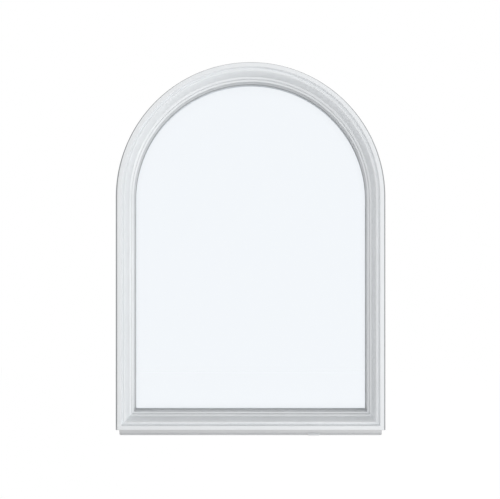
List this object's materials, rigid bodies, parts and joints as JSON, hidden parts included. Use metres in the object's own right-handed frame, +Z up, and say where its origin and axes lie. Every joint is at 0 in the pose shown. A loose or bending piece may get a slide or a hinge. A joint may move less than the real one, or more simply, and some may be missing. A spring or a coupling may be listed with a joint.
{
  "type": "fixed arched top window",
  "caption": "White vinyl fixed window with a half-round top, mitred stepped casing and frame, a sealed glass unit, a wall fin and a drip flashing under the sill.",
  "frame": {"origin": "centre of the underside of the frame box, midway between the wall plane and the room-side edge", "axes": "+Z up, +X to the right seen from outside, +Y from outside into the room"},
  "size_m": [0.9692, 0.116, 1.34],
  "materials": {
    "white_vinyl": "satin white extruded vinyl",
    "fin_vinyl": "matt grey-white flexible vinyl",
    "drip_aluminium": "grey coated sheet",
    "clip_plastic": "pale grey moulded",
    "clear_glass": "clear float",
    "spacer_aluminium": "mill, roll formed",
    "gasket_rubber": "matt grey extruded",
    "tape_foam": "matt closed-cell foam"
  },
  "bodies": {
    "root": {"bead_head": "white_vinyl", "bead_left": "white_vinyl", "bead_right": "white_vinyl", "bead_sill": "white_vinyl", "casing_head": "white_vinyl", "casing_left": "white_vinyl", "casing_right": "white_vinyl", "casing_sill": "white_vinyl", "drip_clip": "clip_plastic", "fin_head": "fin_vinyl", "fin_left": "fin_vinyl", "fin_right": "fin_vinyl", "frame_head": "white_vinyl", "frame_left": "white_vinyl", "frame_right": "white_vinyl", "frame_sill": "white_vinyl", "gasket_head": "gasket_rubber", "gasket_left": "gasket_rubber", "gasket_right": "gasket_rubber", "gasket_sill": "gasket_rubber", "glazing_tape": "tape_foam", "inner_pane": "clear_glass", "outer_pane": "clear_glass", "sill_drip": "drip_aluminium", "spacer_bar": "spacer_aluminium"}
  },
  "joints": []
}
